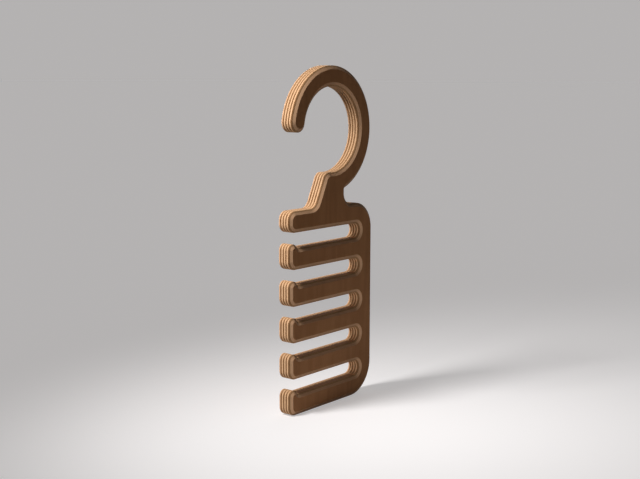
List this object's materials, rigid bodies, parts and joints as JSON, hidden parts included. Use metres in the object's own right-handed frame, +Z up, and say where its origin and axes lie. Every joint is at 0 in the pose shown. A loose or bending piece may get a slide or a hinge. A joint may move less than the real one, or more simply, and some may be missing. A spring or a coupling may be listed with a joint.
{
  "type": "belt hanger",
  "caption": "Flat plywood belt hanger: an open hook for a closet rail above a comb of lipped fingers, with belts hung in the slots between them.",
  "frame": {"origin": "under the middle of the board's bounding box, in the plane of the bottom edge", "axes": "+Z up the board to the hook; +X from the fingertips to the spine; the bevelled front face looks along -Y"},
  "size_m": [0.1076, 0.012, 0.2775],
  "materials": {
    "face_veneer": "birch face veneer, upright grain, sanded smooth and sealed to a warm brown satin",
    "long_ply": "pale birch edge, upright grain, routed and sanded",
    "crossband": "darker birch edge, crosswise grain, routed and sanded"
  },
  "bodies": {
    "root": {"front_face_veneer": "face_veneer", "front_outer_crossband": "crossband", "front_long_ply": "long_ply", "front_inner_crossband": "crossband", "centre_long_ply": "long_ply", "back_inner_crossband": "crossband", "back_long_ply": "long_ply", "back_outer_crossband": "crossband", "back_face_veneer": "face_veneer"}
  },
  "joints": []
}
